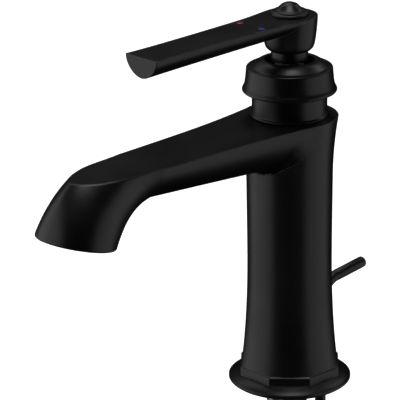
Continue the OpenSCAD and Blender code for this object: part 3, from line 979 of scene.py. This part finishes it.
stand_for(make_body(), "spout_body")
stand_for(make_flange(), "base_flange")
stand_for(make_gasket(), "base_gasket")
stand_for(make_rod_guide(), "rod_guide")
stand_for(make_collar(), "body_collar")
stand_for(make_bell(), "bonnet_bell")
stand_for(make_neck(), "handle_neck")
stand_for(make_lever(), "lever_handle")
stand_for(make_finial(), "finial_cap")
stand_for(make_mark("hot_dot", -MARK_X), "hot_mark")
stand_for(make_mark("cold_dot", MARK_X), "cold_mark")
stand_for(make_lift_rod(), "lift_rod")
stand_for(make_stud(), "mounting_stud")
stand_for(make_nut(), "stud_nut")
stand_for(make_horseshoe("clamp_gasket", "horseshoe_gasket", 0.3), "horseshoe_gasket")
stand_for(make_horseshoe("clamp_plate", "horseshoe_plate", 0.2), "horseshoe_plate")
stand_for(make_aerator_housing(), "aerator_housing")
stand_for(make_aerator_insert(), "aerator_insert")
stand_for(make_aerator_washer(), "aerator_washer")

# CAD nodes that nothing stands for are shown as they are, in the same finishes.
for node, item in frame["nodes"].items():
    if not item.hide_render:
        paint(item, FINISHES[SLOT_OF[node]])


# ---------- camera, floor and light ----------

# Distances in metres. PITCH is how far the camera looks down, and AXIS_OFF_CENTRE how far it looks past
# the column's axis.
AZIMUTH = math.radians(45)
CAMERA_OUT = 1.1808
CAMERA_UP = 0.4989
PITCH = 0.337
AXIS_OFF_CENTRE = math.radians(1.818)
LENS_MM = 253.9
SENSOR_MM = 36
NEAREST = 0.05
LIT_POINT = Vector((0, 0, 0.09))
to_camera = Vector((math.sin(AZIMUTH), -math.cos(AZIMUTH), 0))
to_right = Vector((math.cos(AZIMUTH), math.sin(AZIMUTH), 0))


def make_camera():
    lens = bpy.data.cameras.new("camera")
    lens.lens = LENS_MM
    lens.sensor_width = SENSOR_MM
    lens.clip_start = NEAREST
    camera = bpy.data.objects.new("camera", lens)
    bpy.context.scene.collection.objects.link(camera)
    aim = Matrix.Rotation(AZIMUTH, 4, "Z") @ Matrix.Rotation(math.pi / 2 - PITCH, 4, "X")
    aim = aim @ Matrix.Rotation(AXIS_OFF_CENTRE, 4, "Y")
    camera.matrix_world = Matrix.Translation(to_camera * CAMERA_OUT + Vector((0, 0, CAMERA_UP))) @ aim
    bpy.context.scene.camera = camera


def soft_light(name, towards, height, size, power_w):
    """Rectangular softbox that faces the object. Its place is a level vector and a height in metres."""
    data = bpy.data.lights.new(name, "AREA")
    data.shape = "RECTANGLE"
    data.size, data.size_y = size
    data.energy = power_w
    light = bpy.data.objects.new(name, data)
    bpy.context.scene.collection.objects.link(light)
    light.location = towards + Vector((0, 0, height))
    light.rotation_euler = (LIT_POINT - light.location).to_track_quat("-Z", "Y").to_euler()


def make_floor():
    """Pale studio floor below the mounting set. It doesn't light or mirror in the object."""
    half = 6
    gap_below = 0.03
    level = STUD_LOW * MM - gap_below
    mesh = bpy.data.meshes.new("studio_floor")
    corners = [(-half, -half, level), (half, -half, level), (half, half, level), (-half, half, level)]
    mesh.from_pydata(corners, [], [(0, 1, 2, 3)])
    floor = bpy.data.objects.new("studio_floor", mesh)
    bpy.context.scene.collection.objects.link(floor)
    greys = ((0.86, 0.86, 0.86), (0.9, 0.9, 0.9))
    pale = material("pale_floor", greys, (0.9, 0.9, 0.9), (0.8, 0.9), 40, 1e-4)
    shader = pale.node_tree.nodes["Principled BSDF"]
    shader.inputs["Emission Color"].default_value = (1, 1, 1, 1)
    shader.inputs["Emission Strength"].default_value = 1.0
    mesh.materials.append(pale)
    floor.visible_glossy = False
    floor.visible_diffuse = False
    floor.visible_shadow = False


def make_world():
    """White surroundings that only the camera sees."""
    world = bpy.data.worlds.new("studio")
    world.use_nodes = True
    world.node_tree.nodes["Background"].inputs["Color"].default_value = (1, 1, 1, 1)
    world.node_tree.nodes["Background"].inputs["Strength"].default_value = 1.0
    world.cycles_visibility.glossy = False
    world.cycles_visibility.diffuse = False
    bpy.context.scene.world = world


make_camera()
make_floor()
make_world()
soft_light("left_softbox", -to_right + to_camera * 0.1, 0.15, (1.7, 1.3), 5.8)
soft_light("right_softbox", to_right + to_camera * 0.16, -0.1, (1.5, 1.3), 3.3)
soft_light("top_softbox", to_camera * 0.2, 1.3, (0.6, 0.45), 4.5)
soft_light("left_rim", (-to_right - to_camera) * 0.7, 0.9, (0.4, 0.4), 0.5)
soft_light("right_rim", (to_right - to_camera) * 0.7, 0.9, (0.3, 0.3), 0.7)
soft_light("high_back_softbox", to_camera * -0.6 - to_right * 0.15, 1.1, (0.6, 0.5), 1.5)
soft_light("back_softbox", to_camera * -1.2 - to_right * 0.3, 0.5, (1.6, 0.7), 0.06)
soft_light("front_fill", to_camera * 1.2, -0.75, (1.4, 0.4), 0.4)
bpy.context.scene.view_settings.view_transform = "Standard"
